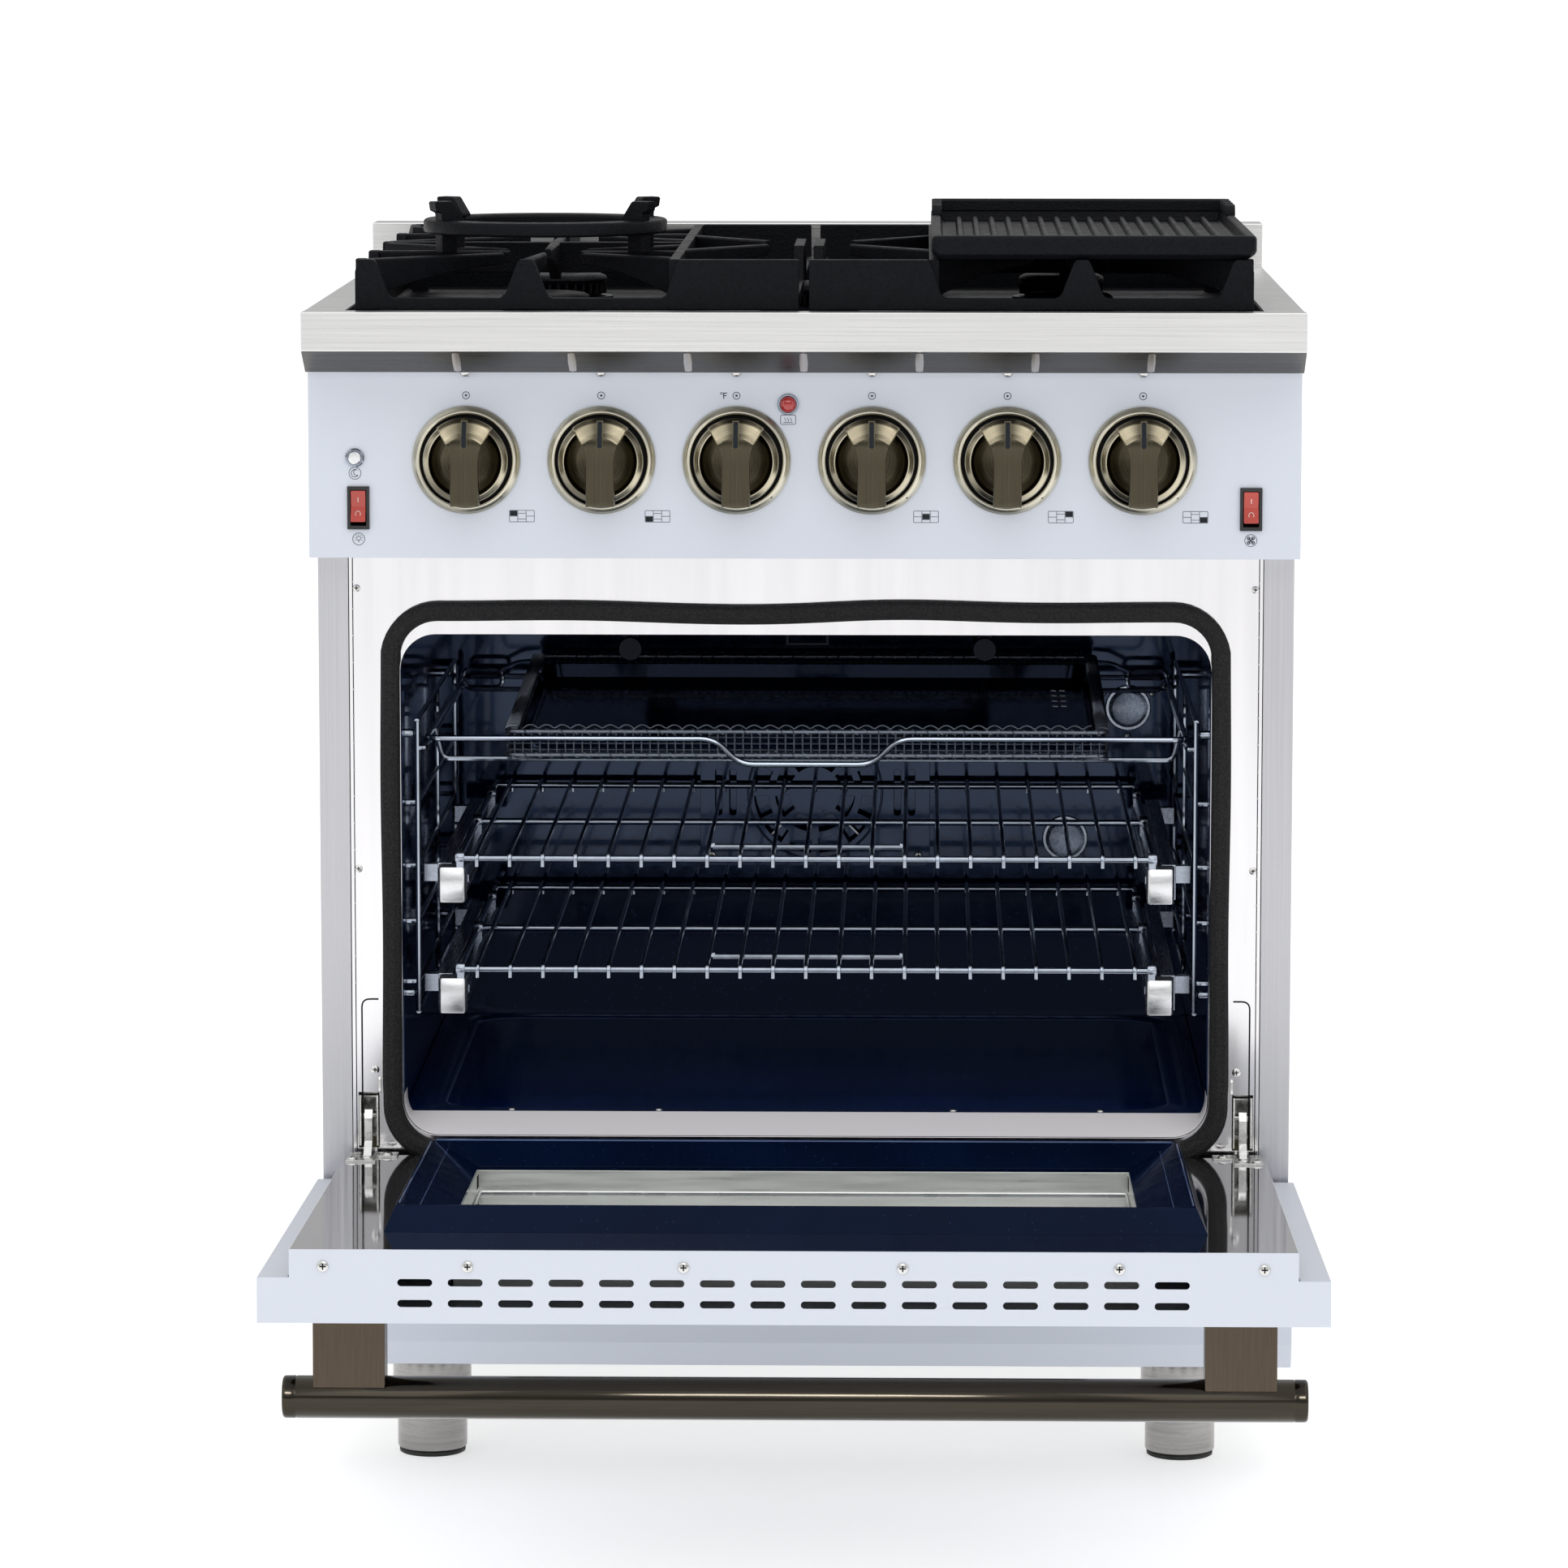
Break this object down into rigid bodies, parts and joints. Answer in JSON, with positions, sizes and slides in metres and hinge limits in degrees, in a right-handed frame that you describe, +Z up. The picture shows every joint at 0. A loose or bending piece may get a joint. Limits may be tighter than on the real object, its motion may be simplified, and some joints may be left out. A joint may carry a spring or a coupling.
{
  "type": "freestanding gas range",
  "caption": "Freestanding gas range with cast iron grates, wok ring, griddle, knobs and a convection oven whose windowed drop-down door stands open.",
  "frame": {"origin": "on the floor under the middle of the part's box with its door open", "axes": "+X to the right as seen from the front, +Y towards the rear wall, +Z up"},
  "size_m": [0.764, 1.1072, 0.9852],
  "materials": {
    "white_enamel": "gloss",
    "brushed_stainless": "brushed",
    "polished_stainless": "mirror polish",
    "galvanised": "satin",
    "blue_enamel": "gloss vitreous enamel with fine speckle",
    "cast_iron": "matte, sand cast grain",
    "black_enamel": "gloss",
    "antique_brass": "brushed, aged",
    "bezel_brass": "brushed, champagne",
    "chrome": "polished",
    "zinc_steel": "satin",
    "aluminium": "cast",
    "brass": "satin",
    "gasket_braid": "braided",
    "wool": "fibrous",
    "clear_glass": "clear",
    "dark_glass": "tinted",
    "black_plastic": "satin",
    "red_plastic": "gloss, translucent"
  },
  "bodies": {
    "range": {"side_panels": "brushed_stainless", "back_panel": "galvanised", "base_pan": "galvanised", "kick_panel": "white_enamel", "leg_sleeves": "brushed_stainless", "levelling_feet": "brushed_stainless", "control_fascia": "white_enamel", "bullnose": "brushed_stainless", "backguard": "brushed_stainless", "cooktop_tray": "polished_stainless", "trim_screws": "chrome", "front_frame": "polished_stainless", "oven_liner": "blue_enamel", "oven_floor": "blue_enamel", "insulation": "wool", "door_gasket": "gasket_braid", "hinge_receivers": "zinc_steel", "hinge_claws": "zinc_steel", "rack_ladders": "chrome", "glide_channels": "chrome", "fan_motor": "zinc_steel", "fan_cover": "blue_enamel", "oven_lamps": "clear_glass", "oven_burners": "zinc_steel", "burner_bases": "aluminium", "burner_caps": "black_enamel", "gas_manifold": "zinc_steel", "gas_valves": "brass", "knob_bezels": "bezel_brass", "indicator_lamp": "red_plastic", "switch_frames": "black_plastic"},
    "door": {"door_skin": "white_enamel", "door_liner": "polished_stainless", "door_plug": "blue_enamel", "window_trunk": "galvanised", "inner_glass": "clear_glass", "outer_glass": "dark_glass", "door_handle": "antique_brass", "handle_brackets": "antique_brass", "door_hinges": "zinc_steel", "door_screws": "chrome"},
    "knob_left_rear_body": {"knob_left_rear": "antique_brass"},
    "knob_left_front_body": {"knob_left_front": "antique_brass"},
    "knob_oven_body": {"knob_oven": "antique_brass"},
    "knob_center_body": {"knob_center": "antique_brass"},
    "knob_right_rear_body": {"knob_right_rear": "antique_brass"},
    "knob_right_front_body": {"knob_right_front": "antique_brass"},
    "push_button_body": {"push_button": "chrome"},
    "lamp_rocker_body": {"lamp_rocker": "red_plastic"},
    "fan_rocker_body": {"fan_rocker": "red_plastic"},
    "convection_fan_body": {"convection_fan": "aluminium"},
    "upper_rack_body": {"upper_rack": "chrome"},
    "lower_rack_body": {"lower_rack": "chrome"},
    "left_grate_body": {"left_grate": "cast_iron"},
    "right_grate_body": {"right_grate": "cast_iron"},
    "griddle_body": {"griddle": "cast_iron"},
    "wok_ring_body": {"wok_ring": "cast_iron"},
    "basket_carrier": {"carrier_frame": "chrome", "fry_basket": "chrome", "basket_tray": "blue_enamel"}
  },
  "joints": [
    {"name": "door_hinge", "type": "hinge", "parent": "range", "child": "door", "pos_m": [0, -0.07553, 0.2386], "axis": [1, 0, 0], "range_deg": [-87.5, 0]},
    {"name": "knob_left_rear_turn", "type": "hinge", "parent": "range", "child": "knob_left_rear_body", "pos_m": [-0.25875, -0.11253, 0.7945], "axis": [0, -1, 0], "range_deg": [0, 225]},
    {"name": "knob_left_front_turn", "type": "hinge", "parent": "range", "child": "knob_left_front_body", "pos_m": [-0.15525, -0.11253, 0.7945], "axis": [0, -1, 0], "range_deg": [0, 225]},
    {"name": "knob_oven_turn", "type": "hinge", "parent": "range", "child": "knob_oven_body", "pos_m": [-0.05175, -0.11253, 0.7945], "axis": [0, -1, 0], "range_deg": [0, 300]},
    {"name": "knob_center_turn", "type": "hinge", "parent": "range", "child": "knob_center_body", "pos_m": [0.05175, -0.11253, 0.7945], "axis": [0, -1, 0], "range_deg": [0, 225]},
    {"name": "knob_right_rear_turn", "type": "hinge", "parent": "range", "child": "knob_right_rear_body", "pos_m": [0.15525, -0.11253, 0.7945], "axis": [0, -1, 0], "range_deg": [0, 225]},
    {"name": "knob_right_front_turn", "type": "hinge", "parent": "range", "child": "knob_right_front_body", "pos_m": [0.25875, -0.11253, 0.7945], "axis": [0, -1, 0], "range_deg": [0, 225]},
    {"name": "push_button_press", "type": "slide", "parent": "range", "child": "push_button_body", "axis": [0, 1, 0], "range_m": [0, 0.003], "stiffness_N_per_m": 300},
    {"name": "lamp_rocker_tilt", "type": "hinge", "parent": "range", "child": "lamp_rocker_body", "pos_m": [-0.3418, -0.10653, 0.7575], "axis": [1, 0, 0], "range_deg": [0, 16]},
    {"name": "fan_rocker_tilt", "type": "hinge", "parent": "range", "child": "fan_rocker_body", "pos_m": [0.3418, -0.10653, 0.7575], "axis": [1, 0, 0], "range_deg": [0, 16]},
    {"name": "fan_spin", "type": "hinge", "parent": "range", "child": "convection_fan_body", "pos_m": [0, 0.42347, 0.468], "axis": [0, 1, 0], "continuous": true},
    {"name": "upper_rack_slide", "type": "slide", "parent": "range", "child": "upper_rack_body", "axis": [0, -1, 0], "range_m": [0, 0.3]},
    {"name": "lower_rack_slide", "type": "slide", "parent": "range", "child": "lower_rack_body", "axis": [0, -1, 0], "range_m": [0, 0.3]},
    {"name": "carrier_slide", "type": "slide", "parent": "range", "child": "basket_carrier", "axis": [0, -1, 0], "range_m": [0, 0.25]},
    {"name": "left_grate_lift", "type": "slide", "parent": "range", "child": "left_grate_body", "axis": [0, 0, 1], "range_m": [0, 0.1]},
    {"name": "right_grate_lift", "type": "slide", "parent": "range", "child": "right_grate_body", "axis": [0, 0, 1], "range_m": [0, 0.1]},
    {"name": "wok_ring_lift", "type": "slide", "parent": "left_grate_body", "child": "wok_ring_body", "axis": [0, 0, 1], "range_m": [0, 0.08]},
    {"name": "griddle_lift", "type": "slide", "parent": "right_grate_body", "child": "griddle_body", "axis": [0, 0, 1], "range_m": [0, 0.08]}
  ]
}
